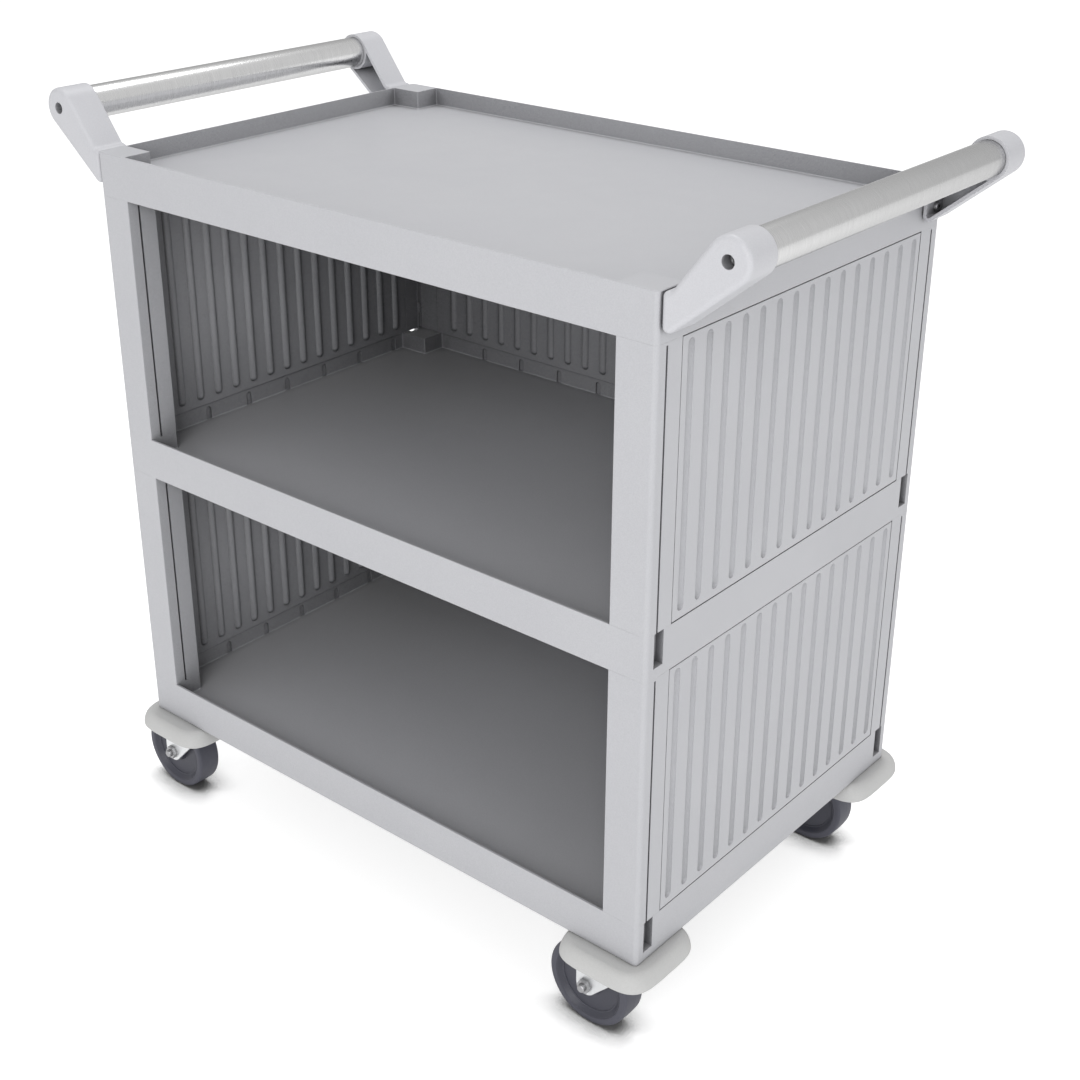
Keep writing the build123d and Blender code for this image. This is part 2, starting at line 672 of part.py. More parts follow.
def make_axle_bolt():
    """Axle bolt, its head on the +Y side, at the origin."""
    head = Rot(-90, 0, 0) * extrude(RegularPolygon(NUT_AF / 2, 6, major_radius=False), 6.5)
    head = Pos(0, LEG_INNER + LEG_T, 0) * head
    shank = y_cylinder(0, 0, AXLE_R, -AXLE_END, LEG_INNER + LEG_T + 0.5)
    shank = chamfer(shank.edges().sort_by(Axis.Y)[0], 1.0)
    return whole(head + shank)


def make_axle_nut():
    """Hexagon nut on the -Y side."""
    nut = Rot(-90, 0, 0) * extrude(RegularPolygon(NUT_AF / 2, 6, major_radius=False), NUT_T)
    nut = Pos(0, -LEG_INNER - LEG_T - NUT_T, 0) * nut
    return whole(nut - y_cylinder(0, 0, AXLE_R + 0.05, -60, 60))


def make_sleeve():
    """Bearing sleeve clamped between the legs; the wheel turns on it."""
    half = LEG_INNER - 0.02
    return whole(y_cylinder(0, 0, BORE_R, -half, half) - y_cylinder(0, 0, AXLE_R + 0.05, -60, 60))


def make_tyre():
    """Tread ring moulded round the wheel centre."""
    profile = [
        (TYRE_INNER_R, -WHEEL_W / 2),
        (WHEEL_R - TREAD_EDGE, -WHEEL_W / 2),
        (WHEEL_R, -WHEEL_W / 2 + TREAD_EDGE),
        (WHEEL_R, WHEEL_W / 2 - TREAD_EDGE),
        (WHEEL_R - TREAD_EDGE, WHEEL_W / 2),
        (TYRE_INNER_R, WHEEL_W / 2),
        (TYRE_INNER_R, 6),
        (TYRE_INNER_R - 1.5, 4.5),
        (TYRE_INNER_R - 1.5, -4.5),
        (TYRE_INNER_R, -6),
    ]
    face = make_face(Polyline(*profile, close=True))
    tyre = turned(face)
    rims = tyre.edges().filter_by(GeomType.CIRCLE).sort_by(lambda e: e.radius)[-4:]
    return whole(fillet(rims, 0.8))


def turned(face):
    """Spin a radius-width profile about the Y axis."""
    return revolve(face, Axis.Y)


def make_wheel_core():
    """Moulded wheel centre with a stepped, dished face and a bored hub."""
    half = WHEEL_W / 2
    profile = [
        (BORE_R + RUN_FIT, -LEG_INNER + 0.35),
        (HUB_R - 1.5, -LEG_INNER + 0.35),
        (HUB_R, -9.2),
        (36.6, -9.2),
        (37.0, -10.3),
        (38.2, -10.6),
        (TYRE_INNER_R - 0.7, -half + 0.3),
        (TYRE_INNER_R, -half + 0.3),
        (TYRE_INNER_R, -6),
        (TYRE_INNER_R - 1.5, -4.5),
    ]
    mirrored = [(r, -y) for r, y in reversed(profile)]
    return whole(turned(make_face(Polyline(*profile, *mirrored, close=True))))


def make_balls():
    """Ball ring of one caster about the swivel axis."""
    balls = []
    for i in range(BALL_COUNT):
        turn = 2 * math.pi * i / BALL_COUNT
        place = Pos(BALL_RING_R * math.cos(turn), BALL_RING_R * math.sin(turn), BALL_Z)
        balls.append(place * Sphere(BALL_R))
    return balls


def make_casters():
    """Bumper and caster at each corner, all four trailing towards -X."""
    kingpins = []
    balls = []
    screws = []
    bumper = make_bumper()
    plate = make_plate()
    kingpin = make_kingpin()
    ring = make_balls()
    fork = make_fork()
    on_axle = {
        "axle_bolt": make_axle_bolt(),
        "axle_nut": make_axle_nut(),
        "axle_sleeve": make_sleeve(),
        "wheel_core": make_wheel_core(),
        "tyre": make_tyre(),
    }
    for where, (px, py) in pivots().items():
        here = Pos(px, py, 0)
        save(here * bumper, f"{where}_bumper")
        save(here * plate, f"{where}_caster_plate")
        save(here * fork, f"{where}_caster_fork")
        for node, shape in on_axle.items():
            save(Pos(px - TRAIL, py, WHEEL_R) * shape, f"{where}_{node}")
        kingpins.append(here * kingpin)
        balls += [here * b for b in ring]
    for x, y in caster_screw_places():
        screws.append(Pos(x, y, PLATE_Z0) * Rot(180, 0, 0) * pan_screw(5.0, 3.4, 3.0, 22))
    save(Compound(children=kingpins), "kingpins")
    save(Compound(children=balls), "swivel_balls")
    save(Compound(children=screws), "caster_screws")


# ---------------------------------------------------------------- write everything
for level in SHELF_TOPS:
    save(make_shelf(level), f"{level}_shelf")
make_posts()
make_panels()
make_handles()
make_casters()
print(f"overall length {2 * (TUBE_X + BOSS_R):.0f}, width {WIDTH + 2 * (PAD / 2 - PIVOT_Y):.0f}, "
      f"height {TUBE_Z + BOSS_R:.0f} mm")
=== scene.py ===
# %% [markdown]
# # A housekeeping cart, finish by finish
# The cart is a moulded plastic service cart: three tray shelves held apart by posts and
# ribbed panels, two tube handles, and a swivel caster under a soft bumper at each corner.
# Its shapes and joints come from an engineering model that is already exact, so this lesson
# loads that model as a fixed frame, gives every piece a worked-out finish, and rebuilds in
# mesh code the tyres, bumpers and handle tubes, whose curves should be finer than the frame's.

# %% load the frame
import json
import math

import bmesh
import bpy
from mathutils import Matrix, Vector


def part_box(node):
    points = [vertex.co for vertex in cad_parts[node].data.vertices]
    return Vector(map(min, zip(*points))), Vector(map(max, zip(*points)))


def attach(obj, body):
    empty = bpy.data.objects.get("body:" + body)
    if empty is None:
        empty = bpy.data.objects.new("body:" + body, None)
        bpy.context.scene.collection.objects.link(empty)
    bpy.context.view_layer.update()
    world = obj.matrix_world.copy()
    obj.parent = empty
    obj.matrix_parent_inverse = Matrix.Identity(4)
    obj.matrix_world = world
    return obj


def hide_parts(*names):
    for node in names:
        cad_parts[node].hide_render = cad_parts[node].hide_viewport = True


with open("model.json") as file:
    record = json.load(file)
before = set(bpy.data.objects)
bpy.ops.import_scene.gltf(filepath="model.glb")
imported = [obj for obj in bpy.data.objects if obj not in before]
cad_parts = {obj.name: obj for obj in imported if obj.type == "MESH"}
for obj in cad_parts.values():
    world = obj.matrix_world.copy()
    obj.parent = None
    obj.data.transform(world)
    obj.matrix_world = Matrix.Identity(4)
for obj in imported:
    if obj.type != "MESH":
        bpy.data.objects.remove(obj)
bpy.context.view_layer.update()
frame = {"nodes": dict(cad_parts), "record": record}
nodes = frame["nodes"]
node_slot = {s["node"]: s["material_slot"] for s in frame["record"]["subparts"]}
CORNERS = ("front_left", "front_right", "rear_left", "rear_right")

# %% [markdown]
# ## The camera
# A product view from the front right and from above the tray. The lens is set by its focal
# length, and the small shift slides the picture without tipping the camera, so that upright
# edges keep their slant.

# %% camera
CAMERA_PLACE = Vector((1.1841, -1.3617, 1.2980))
CAMERA_YAW = math.radians(40.079)
CAMERA_PITCH = math.radians(-24.794)
CAMERA_ROLL = math.radians(0.105)


def camera_axes(yaw, pitch, roll):
    """Right, up and backward unit vectors of a camera, as the columns of a rotation."""
    forward = Vector((-math.sin(yaw) * math.cos(pitch), math.cos(yaw) * math.cos(pitch), math.sin(pitch)))
    level = Vector((math.cos(yaw), math.sin(yaw), 0))
    above = level.cross(forward)
    right = math.cos(roll) * level + math.sin(roll) * above
    up = -math.sin(roll) * level + math.cos(roll) * above
    return Matrix((right, up, -forward)).transposed()


lens = bpy.data.cameras.new("studio_camera")
lens.lens = 55.80
lens.sensor_width = 36
lens.shift_x = 0.0046
lens.shift_y = -0.0452
camera = bpy.data.objects.new("studio_camera", lens)
bpy.context.scene.collection.objects.link(camera)
axes = camera_axes(CAMERA_YAW, CAMERA_PITCH, CAMERA_ROLL)
camera.matrix_world = Matrix.Translation(CAMERA_PLACE) @ axes.to_4x4()
bpy.context.scene.camera = camera
print("camera at", tuple(round(v, 3) for v in CAMERA_PLACE))

# %% [markdown]
# ## Nodes by the handful
# A material is a small machine of nodes. These helpers keep it short to write: one adds a
# node with its settings and sockets in one call, one starts a node group whose sockets are
# named after what they do, and the rest wrap the three sums that every finish needs.


# %% node helpers
def add(tree, kind, sockets=None, **settings):
    """Adds a node. A socket's value is a number, a colour, or another node's output to link."""
    node = tree.nodes.new(kind)
    for name, value in settings.items():
        setattr(node, name, value)
    for name, value in (sockets or {}).items():
        if isinstance(value, bpy.types.NodeSocket):
            tree.links.new(value, node.inputs[name])
        else:
            node.inputs[name].default_value = value
    return node


def new_group(name, inputs, outputs):
    """A shader group with float inputs {name: default} and outputs {name: socket kind}."""
    tree = bpy.data.node_groups.new(name, "ShaderNodeTree")
    for label, default in inputs.items():
        socket = tree.interface.new_socket(label, in_out="INPUT", socket_type="NodeSocketFloat")
        socket.default_value = default
    for label, kind in outputs.items():
        tree.interface.new_socket(label, in_out="OUTPUT", socket_type=kind)
    return tree, tree.nodes.new("NodeGroupInput"), tree.nodes.new("NodeGroupOutput")


def math_node(tree, operation, a, b=0.0):
    """A two-input Math node, clamped to 0..1."""
    return add(tree, "ShaderNodeMath", {0: a, 1: b}, operation=operation, use_clamp=True).outputs[0]


def remap(tree, value, low, high, new_low=0.0, new_high=1.0):
    """Stretches low..high of a value to new_low..new_high."""
    sockets = {"Value": value, "From Min": low, "From Max": high, "To Min": new_low, "To Max": new_high}
    return add(tree, "ShaderNodeMapRange", sockets).outputs[0]


def blend_colour(tree, amount, first, second):
    """Mix of two colours by a mask."""
    mix = add(tree, "ShaderNodeMix", data_type="RGBA")
    for socket, value in ((mix.inputs[0], amount), (mix.inputs[6], first), (mix.inputs[7], second)):
        if isinstance(value, bpy.types.NodeSocket):
            tree.links.new(value, socket)
        else:
            socket.default_value = value
    return mix.outputs[2]


FLOAT = "NodeSocketFloat"
VECTOR = "NodeSocketVector"

# %% [markdown]
# ## Shared effects
# Four effects make up every finish of the cart, so each is a group that is built once.
# *Moulded grain* is the fine etched texture of a plastic tool, with a faint broad mottle from
# the resin. *Soft edge* rounds sharp edges in the shading, as a mould tool does, and gives a
# mask of those edges where hands and bins rub. *Crevice* finds how deep a point lies in a
# corner or slot; the finishes grey those corners, partly as grime and partly as painted shade.
# *Brushed* is the fine scratching that a belt leaves on metal.


# %% moulded grain
def make_grain():
    """Height of the etched grain, a tone for flecks of colour and a broad mottle."""
    tree, inlet, outlet = new_group(
        "moulded grain", {"Grain per metre": 1100.0}, {"Height": FLOAT, "Fleck": FLOAT, "Mottle": FLOAT})
    where = add(tree, "ShaderNodeTexCoord").outputs["Object"]
    etched = add(tree, "ShaderNodeTexNoise", {
        "Vector": where, "Scale": inlet.outputs["Grain per metre"], "Detail": 2.0, "Roughness": 0.6})
    pits = add(tree, "ShaderNodeTexVoronoi", {"Vector": where, "Scale": inlet.outputs["Grain per metre"]})
    height = math_node(tree, "MULTIPLY", etched.outputs[0], remap(tree, pits.outputs[0], 0.0, 0.6, 0.6, 1.0))
    broad = add(tree, "ShaderNodeTexNoise", {"Vector": where, "Scale": 9.0, "Detail": 4.0, "Roughness": 0.55})
    tree.links.new(height, outlet.inputs["Height"])
    tree.links.new(remap(tree, etched.outputs[0], 0.35, 0.65), outlet.inputs["Fleck"])
    tree.links.new(remap(tree, broad.outputs[0], 0.3, 0.7), outlet.inputs["Mottle"])
    return tree


GRAIN = make_grain()


# %% soft edge
def make_soft_edge():
    """Rounded normal near an edge, and a mask of the rubbed edge broken up by noise."""
    tree, inlet, outlet = new_group("soft edge", {"Radius": 0.0012}, {"Normal": VECTOR, "Rubbed": FLOAT})
    rounded = add(tree, "ShaderNodeBevel", {"Radius": inlet.outputs["Radius"]}, samples=4)
    flat = add(tree, "ShaderNodeNewGeometry").outputs["Normal"]
    turn = add(tree, "ShaderNodeVectorMath", {0: rounded.outputs[0], 1: flat}, operation="DOT_PRODUCT")
    edge = remap(tree, turn.outputs["Value"], 0.995, 0.80)
    where = add(tree, "ShaderNodeTexCoord").outputs["Object"]
    patches = add(tree, "ShaderNodeTexNoise", {"Vector": where, "Scale": 60.0, "Detail": 5.0})
    broken = math_node(tree, "MULTIPLY", edge, remap(tree, patches.outputs[0], 0.42, 0.62))
    tree.links.new(rounded.outputs[0], outlet.inputs["Normal"])
    tree.links.new(broken, outlet.inputs["Rubbed"])
    return tree


SOFT_EDGE = make_soft_edge()


# %% crevice
def make_crevice():
    """How deep a point lies in a corner or slot, 0 to 1, and the same broken up by noise."""
    tree, inlet, outlet = new_group("crevice", {"Reach": 0.02}, {"Mask": FLOAT, "Depth": FLOAT})
    shade = add(tree, "ShaderNodeAmbientOcclusion", {"Distance": inlet.outputs["Reach"]}, samples=4)
    where = add(tree, "ShaderNodeTexCoord").outputs["Object"]
    cloud = add(tree, "ShaderNodeTexNoise", {"Vector": where, "Scale": 35.0, "Detail": 3.0})
    deep = remap(tree, shade.outputs["AO"], 0.75, 0.2)
    tree.links.new(deep, outlet.inputs["Depth"])
    tree.links.new(math_node(tree, "MULTIPLY", deep, remap(tree, cloud.outputs[0], 0.2, 0.6, 0.6, 1.0)),
                   outlet.inputs["Mask"])
    return tree


CREVICE = make_crevice()


# %% brushed metal
def make_brushed():
    """Belt scratches: noise drawn out by a different stretch along each axis."""
    stretch = {"Across X": 40.0, "Across Y": 2600.0, "Across Z": 40.0}
    tree, inlet, outlet = new_group("brushed", stretch, {"Height": FLOAT, "Tone": FLOAT})
    where = add(tree, "ShaderNodeTexCoord").outputs["Object"]
    scale = add(tree, "ShaderNodeCombineXYZ", {
        0: inlet.outputs[0], 1: inlet.outputs[1], 2: inlet.outputs[2]}).outputs[0]
    drawn = add(tree, "ShaderNodeVectorMath", {0: where, 1: scale}, operation="MULTIPLY").outputs[0]
    fine = add(tree, "ShaderNodeTexNoise", {"Vector": drawn, "Scale": 1.0, "Detail": 4.0, "Roughness": 0.7})
    wide = add(tree, "ShaderNodeTexNoise", {"Vector": drawn, "Scale": 0.16, "Detail": 2.0})
    tree.links.new(fine.outputs[0], outlet.inputs["Height"])
    mixed = math_node(tree, "MULTIPLY", remap(tree, fine.outputs[0], 0.3, 0.7, 0.55, 1.0),
                      remap(tree, wide.outputs[0], 0.3, 0.7, 0.7, 1.0))
    tree.links.new(mixed, outlet.inputs["Tone"])
    return tree


BRUSHED = make_brushed()
print("groups:", ", ".join(g.name for g in (GRAIN, SOFT_EDGE, CREVICE, BRUSHED)))


# %% [markdown]
# ## The finishes
# Each finish starts from the same bench: a material with a Principled shader, the soft edge
# and the crevice mask. The plastics then add moulded grain, the metals add brushing. The
# body plastic also darkens the inside of the open bays, found by the crevice depth with a
# long reach. That is a lighting aid and not the colour of the plastic: the pale room fills
# the bays with more light than studio lamps alone would. The rim colour of the handle tubes
# is an aid too, and stands in for the dark surroundings that a bright bar would mirror.


# %% starting bench for a finish
def use_group(tree, group, **values):
    """Places a group in a material and sets its inputs."""
    node = add(tree, "ShaderNodeGroup", node_tree=group)
    for name, value in values.items():
        node.inputs[name.replace("_", " ")].default_value = value
    return node.outputs


def bench(name, **shader_values):
    """A new material: its tree and its Principled shader with constants set on the sockets."""
    material = bpy.data.materials.new(name)
    material.use_nodes = True
    tree = material.node_tree
    shader = tree.nodes["Principled BSDF"]
    for label, value in shader_values.items():
        shader.inputs[label.replace("_", " ")].default_value = value
    return material, tree, shader


def rgb(red, green, blue):
    """An opaque colour."""
    return (red, green, blue, 1.0)


def bump(tree, height, normal, depth):
    """A Bump node's normal; depth is the height of the relief in metres."""
    sockets = {"Height": height, "Normal": normal, "Distance": depth, "Strength": 1.0}
    return add(tree, "ShaderNodeBump", sockets).outputs[0]


# %% plastics
CORNER_REACH = 0.02
BAY_REACH = 0.36
BAY_START = 0.25
BAY_FULL = 0.90
BAY_FLOOR = rgb(0.385, 0.385, 0.392)
COOL_CAST = rgb(0.3, 0.3, 0.34)
COOL_AMOUNT = 0.06


def moulded_plastic(name, main, fleck, rubbed, grime_and_shade, roughness,
                    grain=1100.0, depth=0.00006, radius=0.0012, bay=None):
    """Injection-moulded plastic: etched grain, flecks, rubbed edges, corners greyed by grime and painted
    shade.

    bay is the darkened colour of walls deep inside the open bays, and BAY_FLOOR that of their
    floors. Both stand in for shadow, so they are darker than the plastic itself.
    """
    material, tree, shader = bench(name, Specular_IOR_Level=0.4)
    etched = use_group(tree, GRAIN, Grain_per_metre=grain)
    edge = use_group(tree, SOFT_EDGE, Radius=radius)
    corner = use_group(tree, CREVICE, Reach=CORNER_REACH)
    colour = blend_colour(tree, etched["Fleck"], main, fleck)
    cooler = blend_colour(tree, COOL_AMOUNT, colour, COOL_CAST)
    colour = blend_colour(tree, etched["Mottle"], colour, cooler)
    colour = blend_colour(tree, edge["Rubbed"], colour, rubbed)
    if bay:
        inside = use_group(tree, CREVICE, Reach=BAY_REACH)["Depth"]
        facing = add(tree, "ShaderNodeNewGeometry").outputs["Normal"]
        upward = add(tree, "ShaderNodeSeparateXYZ", {"Vector": facing}).outputs["Z"]
        shaded = blend_colour(tree, remap(tree, upward, 0.2, 0.9), bay, BAY_FLOOR)
        colour = blend_colour(tree, remap(tree, inside, BAY_START, BAY_FULL), colour, shaded)
    # Painted shade: corners and slots are greyed, partly as grime and partly as the shade that falls there.
    colour = blend_colour(tree, corner["Mask"], colour, grime_and_shade)
    tree.links.new(colour, shader.inputs["Base Color"])
    tree.links.new(remap(tree, etched["Mottle"], 0.0, 1.0, roughness - 0.05, roughness + 0.06),
                   shader.inputs["Roughness"])
    tree.links.new(bump(tree, etched["Height"], edge["Normal"], depth), shader.inputs["Normal"])
    return material


FINISHES = {
    "body_plastic": moulded_plastic(
        "body_plastic", rgb(0.520, 0.523, 0.545), rgb(0.470, 0.473, 0.495), rgb(0.58, 0.58, 0.60),
        rgb(0.13, 0.13, 0.14), 0.42, radius=0.0007, bay=rgb(0.085, 0.085, 0.090)),
    "handle_plastic": moulded_plastic(
        "handle_plastic", rgb(0.580, 0.582, 0.608), rgb(0.540, 0.542, 0.568), rgb(0.63, 0.63, 0.65),
        rgb(0.20, 0.20, 0.21), 0.40, grain=900.0, radius=0.0008),
    "bumper": moulded_plastic(
        "bumper", rgb(0.560, 0.560, 0.554), rgb(0.530, 0.530, 0.524), rgb(0.56, 0.56, 0.55),
        rgb(0.20, 0.20, 0.195), 0.62, grain=700.0, depth=0.00003),
    "tyre": moulded_plastic(
        "tyre", rgb(0.072, 0.073, 0.094), rgb(0.060, 0.061, 0.080), rgb(0.14, 0.14, 0.165),
        rgb(0.05, 0.05, 0.06), 0.50, grain=800.0, depth=0.00004, radius=0.0008),
    "wheel_core": moulded_plastic(
        "wheel_core", rgb(0.056, 0.057, 0.075), rgb(0.046, 0.047, 0.063), rgb(0.10, 0.10, 0.12),
        rgb(0.03, 0.03, 0.035), 0.40, grain=900.0, depth=0.00004, radius=0.0008),
}


# %% metals
METAL_CORNER_REACH = 0.008
METAL_GRIME_AND_SHADE = rgb(0.22, 0.22, 0.22)


def bare_metal(name, main, dull, roughness, stretch, rim=None, radius=0.0006, depth=0.000012):
    """Brushed or plated metal: scratches in tone, roughness and relief.

    rim is a darker colour where a round bar turns away from the eye. It stands in for dark
    surroundings mirrored in the bar.
    """
    material, tree, shader = bench(name, Metallic=1.0)
    scratches = use_group(tree, BRUSHED, Across_X=stretch[0], Across_Y=stretch[1], Across_Z=stretch[2])
    edge = use_group(tree, SOFT_EDGE, Radius=radius)
    corner = use_group(tree, CREVICE, Reach=METAL_CORNER_REACH)
    colour = blend_colour(tree, scratches["Tone"], dull, main)
    if rim:
        turned = add(tree, "ShaderNodeLayerWeight", {"Blend": 0.5}).outputs["Facing"]
        colour = blend_colour(tree, remap(tree, turned, 0.30, 0.85), colour, rim)
    # Painted shade: corners and slots of the metal are greyed, partly as grime and partly as shade.
    colour = blend_colour(tree, corner["Mask"], colour, METAL_GRIME_AND_SHADE)
    tree.links.new(colour, shader.inputs["Base Color"])
    tree.links.new(remap(tree, scratches["Tone"], 0.3, 1.0, roughness + 0.12, roughness),
                   shader.inputs["Roughness"])
    tree.links.new(bump(tree, scratches["Height"], edge["Normal"], depth), shader.inputs["Normal"])
    return material


FINISHES["brushed_tube"] = bare_metal(
    "brushed_tube", rgb(0.98, 0.98, 0.98), rgb(0.64, 0.64, 0.64), 0.20, (45.0, 3200.0, 45.0),
    rim=rgb(0.42, 0.42, 0.42), depth=0.000006)
FINISHES["zinc"] = bare_metal(
    "zinc", rgb(0.90, 0.91, 0.92), rgb(0.72, 0.73, 0.74), 0.34, (250.0, 250.0, 60.0))
FINISHES["fasteners"] = bare_metal("fasteners", rgb(0.50, 0.50, 0.51), rgb(0.30, 0.30, 0.31), 0.36,
                                   (500.0, 500.0, 500.0))
print("finishes:", ", ".join(FINISHES))

# %% dress the frame's nodes
for name, piece in nodes.items():
    piece.data.materials.clear()
    piece.data.materials.append(FINISHES[node_slot[name]])
print(f"dressed {len(nodes)} nodes")

# %% [markdown]
# ## Round pieces on a lathe
# Tyres and handle tubes are bodies of revolution. The frame's versions are cut into flat
# facets, so the visible ones are turned again here: an outline of radius against width has
# its corners rounded by short curves, and is spun in fine steps.


# %% lathe helpers
SHARP_ANGLE = math.radians(50)
WELD_DISTANCE = 1e-6


def round_corners(outline, radius, steps=4):
    """Replaces each corner of a closed outline by an arc of up to that radius."""
    rounded = []
    count = len(outline)
    for i in range(count):
        here = Vector(outline[i])
        before = Vector(outline[i - 1]) - here
        after = Vector(outline[(i + 1) % count]) - here
        cut = min(radius, 0.45 * before.length, 0.45 * after.length)
        start = here + before.normalized() * cut
        end = here + after.normalized() * cut
        for k in range(steps + 1):
            t = k / steps
            rounded.append(start * (1 - t) ** 2 + here * 2 * t * (1 - t) + end * t ** 2)
    return rounded


def finish_mesh(name, mesh_data, slot, body, replaced):
    """Closes a mesh, shades it smooth, and hangs it on its body in place of a frame node."""
    bmesh.ops.remove_doubles(mesh_data, verts=mesh_data.verts, dist=WELD_DISTANCE)
    bmesh.ops.recalc_face_normals(mesh_data, faces=mesh_data.faces)
    mesh = bpy.data.meshes.new(name)
    mesh_data.to_mesh(mesh)
    mesh_data.free()
    mesh.shade_smooth()
    mesh.set_sharp_from_angle(angle=SHARP_ANGLE)
    mesh.materials.append(FINISHES[slot])
    piece = bpy.data.objects.new(name, mesh)
    bpy.context.scene.collection.objects.link(piece)
    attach(piece, body)
    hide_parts(replaced)


def turn(outline, centre, segments=128):
    """Spins a closed outline of (radius, y) about the Y axis through a centre."""
    data = bmesh.new()
    rings = []
    for s in range(segments):
        angle = 2 * math.pi * s / segments
        rings.append([data.verts.new(centre + Vector((p.x * math.cos(angle), p.y, p.x * math.sin(angle))))
                      for p in outline])
    for s in range(segments):
        ring, following = rings[s], rings[(s + 1) % segments]
        for k in range(len(outline)):
            j = (k + 1) % len(outline)
            data.faces.new((ring[k], ring[j], following[j], following[k]))
    return data


def box_facts(node):
    """Centre and half sizes of a frame node."""
    low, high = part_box(node)
    return (low + high) / 2, (high - low) / 2


# %% [markdown]
# ### Tyres
# The tyre is a smooth grey band moulded on the wheel centre: nearly square shoulders, a
# slightly crowned tread and a hair-thin parting line round the middle, where the two halves
# of its mould met.

# %% tyres
TYRE_BORE = 0.0433
BORE_GAP = 0.0001
SHOULDER = 0.0020
CROWN = 0.0005
PARTING_HALF_WIDTH = 0.0006
PARTING_DEPTH = 0.00025
TYRE_ROUNDING = 0.0011


def tyre_outline(radius, half):
    """Section of the tyre, radius against width, crowned, with a parting line."""
    inner = TYRE_BORE + BORE_GAP
    points = [(inner, -half), (radius - SHOULDER * 1.4, -half), (radius - CROWN, -half + SHOULDER)]
    points += [(radius, -PARTING_HALF_WIDTH), (radius - PARTING_DEPTH, 0.0), (radius, PARTING_HALF_WIDTH)]
    points += [(radius - CROWN, half - SHOULDER), (radius - SHOULDER * 1.4, half), (inner, half)]
    return points


for corner in CORNERS:
    centre, half = box_facts(f"{corner}_tyre")
    section = round_corners(tyre_outline(half.z, half.y), TYRE_ROUNDING)
    finish_mesh(f"{corner}_tread", turn(section, centre), "tyre", f"{corner}_wheel", f"{corner}_tyre")
print("turned 4 tyres of radius", round(half.z * 1000, 1), "mm")

# %% [markdown]
# ## The corner bumpers
# Each bumper is a soft cap that keeps the cart off the paintwork. Seen from above it is
# neither a circle nor a square but something between, a superellipse, and its side rolls
# over in a quarter ellipse to the cavity under it. A stack of such outlines, skinned from
# ring to ring, gives a surface with no flat spots.

# %% bumpers
BUMPER_EXPONENT = 4.3
BUMPER_ROLL = 0.0105
BUMPER_WALL = 0.0100
BUMPER_ROOF = 0.0030
BUMPER_DROP = 0.92
ROLL_STEPS = 12


def superellipse(half, exponent, count=128):
    """Points of a superellipse of equal half-widths."""
    points = []
    for i in range(count):
        angle = 2 * math.pi * i / count
        c, s = math.cos(angle), math.sin(angle)
        reach = half / (abs(c) ** exponent + abs(s) ** exponent) ** (1 / exponent)
        points.append((reach * c, reach * s))
    return points


def bumper_rings(half, low, high):
    """(half-width, height) of each ring, from the middle of the top round to the cavity roof."""
    rings = []
    height = high - low
    for k in range(ROLL_STEPS + 1):
        angle = k / ROLL_STEPS * math.pi / 2
        inset = BUMPER_ROLL * (1 - math.sin(angle))
        rings.append((half - inset, high - height * BUMPER_DROP * (1 - math.cos(angle))))
    rings += [(half - 0.0003, low + 0.0007), (half - 0.0013, low)]
    rings += [(half - BUMPER_WALL + 0.001, low), (half - BUMPER_WALL, low + 0.001)]
    rings += [(half - BUMPER_WALL - 0.0008, high - BUMPER_ROOF - 0.001)]
    rings += [(half - BUMPER_WALL - 0.0020, high - BUMPER_ROOF)]
    return rings


def skin(rings, centre, exponent):
    """Joins superellipse rings into one closed skin."""
    data = bmesh.new()
    loops = []
    for half, z in rings:
        loops.append([data.verts.new((centre.x + x, centre.y + y, z))
                      for x, y in superellipse(half, exponent)])
    count = len(loops[0])
    for first, second in zip(loops, loops[1:]):
        for i in range(count):
            j = (i + 1) % count
            data.faces.new((first[i], first[j], second[j], second[i]))
    data.faces.new(loops[0])
    data.faces.new(list(reversed(loops[-1])))
    return data


for corner in CORNERS:
    centre, half = box_facts(f"{corner}_bumper")
    rings = bumper_rings(half.x, centre.z - half.z, centre.z + half.z)
    pad = skin(rings, centre, BUMPER_EXPONENT)
    finish_mesh(f"{corner}_pad", pad, "bumper", "cabinet", f"{corner}_bumper")
print("skinned 4 bumpers", round(half.x * 2000), "mm across")

# %% [markdown]
# ## Handle tubes
# A 38 mm tube between the two arms, brushed round and round by a belt. The ends are softened
# so that they slide into the arms.

# %% tubes
TUBE_WALL = 0.0016
TUBE_ROUNDING = 0.0006
TUBE_SEGMENTS = 160
for side in ("left", "right"):
    centre, half = box_facts(f"{side}_handle_tube")
    bore = half.z - TUBE_WALL
    section = [(bore, -half.y), (half.z, -half.y), (half.z, half.y), (bore, half.y)]
    tube = turn(round_corners(section, TUBE_ROUNDING), centre, TUBE_SEGMENTS)
    finish_mesh(f"{side}_grip_tube", tube, "brushed_tube", "cabinet", f"{side}_handle_tube")
print("turned 2 tubes of length", round(half.y * 2000), "mm")

# %% [markdown]
# ## Studio
# A pale floor, a pale room all round and three large soft lights. The main light stands to
# the right of the front, so that the front and the right end get nearly the same light and
# the open bays fall away into shadow. The floor glows a little like a light table, and a
# crevice mask takes the glow away and greys the floor where a wheel touches it: a painted
# contact shadow. The camera sees floor and room
# whiter than the light they send to the cart, so the background is white but the cart is not
# washed out.

# %% floor and lights
FLOOR_SIZE = 40.0
CONTACT_REACH = 0.07
CONTACT_FULL = 0.35
CONTACT_GREY = rgb(0.16, 0.16, 0.16)
FLOOR_GLOW = (0.46, 0.68)
ROOM_GLOW = (0.62, 1.0)
LIGHTS = {
    "key_light": ((1.8, -3.6, 2.4), (0, 0, 0.5), 2.2, 66),
    "end_light": ((3.8, -1.0, 1.8), (0.3, 0, 0.6), 1.8, 12),
    "top_light": ((-0.6, 0.8, 3.6), (0, 0, 0.8), 1.6, 34),
}


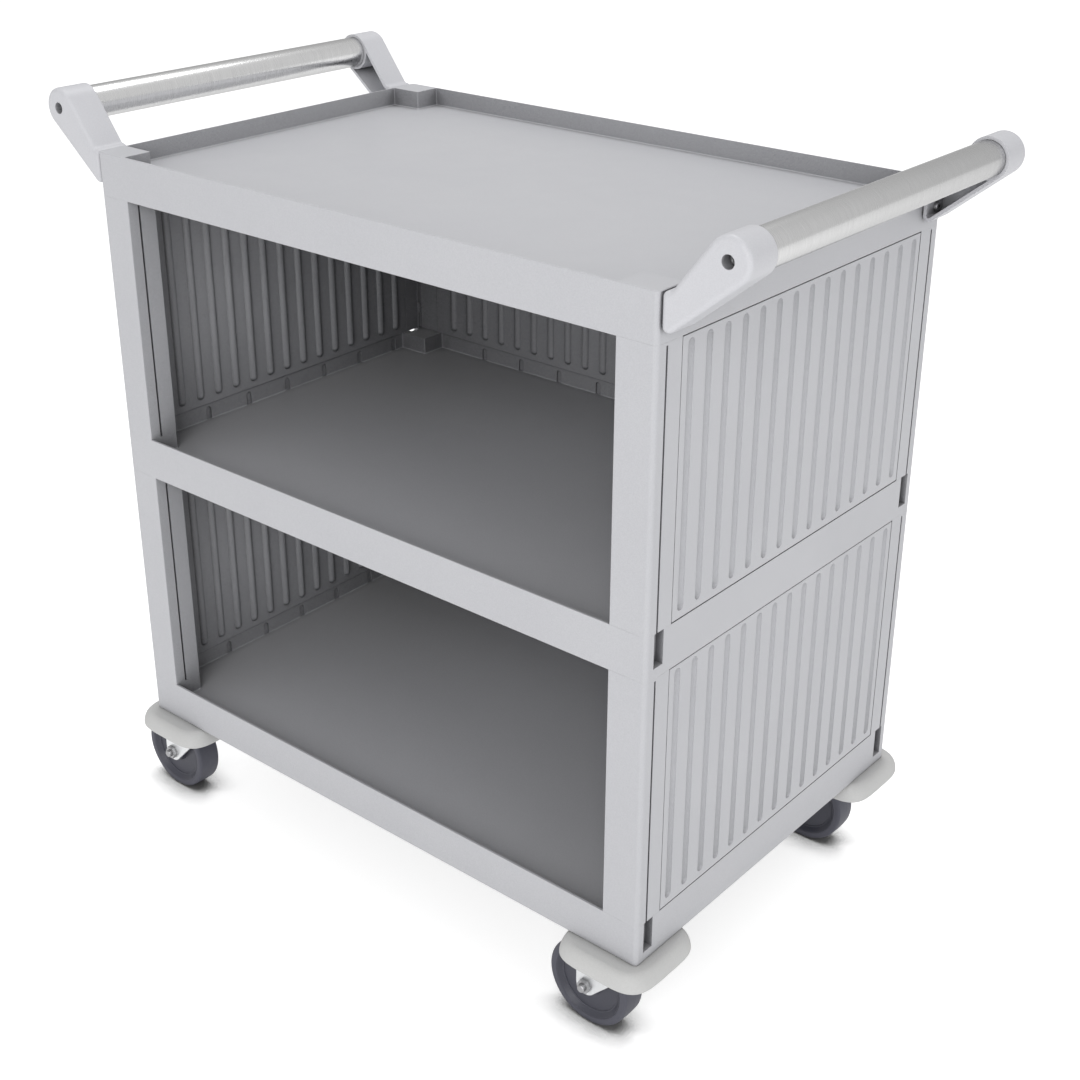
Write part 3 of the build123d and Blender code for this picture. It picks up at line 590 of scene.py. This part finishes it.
def seen_as(tree, glow):
    """A strength that is glow[0] for the cart and glow[1] straight to the camera."""
    return remap(tree, add(tree, "ShaderNodeLightPath").outputs["Is Camera Ray"], 0.0, 1.0, *glow)


def make_floor():
    """A pale sheet, slightly self-lit like a light table, to stand for a lit studio sweep."""
    data = bmesh.new()
    bmesh.ops.create_grid(data, x_segments=8, y_segments=8, size=FLOOR_SIZE / 2)
    mesh = bpy.data.meshes.new("studio_floor")
    data.to_mesh(mesh)
    data.free()
    material, tree, shader = bench("studio_floor", Roughness=0.9)
    where = add(tree, "ShaderNodeTexCoord").outputs["Object"]
    cloud = add(tree, "ShaderNodeTexNoise", {"Vector": where, "Scale": 2.0}).outputs[0]
    shader.inputs["Emission Color"].default_value = rgb(1, 1, 1)
    # Painted contact shadow: where a wheel meets the floor, the glow is taken away and the floor colour
    # greys.
    contact = remap(tree, use_group(tree, CREVICE, Reach=CONTACT_REACH)["Depth"], 0.0, CONTACT_FULL)
    lit = remap(tree, contact, 0.0, 1.0, 1.0, 0.0)
    glow = math_node(tree, "MULTIPLY", seen_as(tree, FLOOR_GLOW), lit)
    tree.links.new(glow, shader.inputs["Emission Strength"])
    paper = blend_colour(tree, cloud, rgb(0.66, 0.66, 0.66), rgb(0.68, 0.68, 0.68))
    tree.links.new(blend_colour(tree, contact, paper, CONTACT_GREY), shader.inputs["Base Color"])
    mesh.materials.append(material)
    floor = bpy.data.objects.new("studio_floor", mesh)
    bpy.context.scene.collection.objects.link(floor)


def soft_light(name, place, target, size, power):
    """A square area light aimed at a point."""
    light = bpy.data.lights.new(name, "AREA")
    light.shape = "SQUARE"
    light.size = size
    light.energy = power
    lamp = bpy.data.objects.new(name, light)
    lamp.location = place
    lamp.rotation_euler = (Vector(target) - Vector(place)).to_track_quat("-Z", "Y").to_euler()
    bpy.context.scene.collection.objects.link(lamp)


make_floor()
for name, (place, target, size, power) in LIGHTS.items():
    soft_light(name, place, target, size, power)
room = bpy.data.worlds.new("studio_room")
room.use_nodes = True
background = room.node_tree.nodes["Background"]
background.inputs["Color"].default_value = rgb(1, 1, 1)
room.node_tree.links.new(seen_as(room.node_tree, ROOM_GLOW), background.inputs["Strength"])
bpy.context.scene.world = room
bpy.context.scene.view_settings.view_transform = "Standard"
print("studio ready")
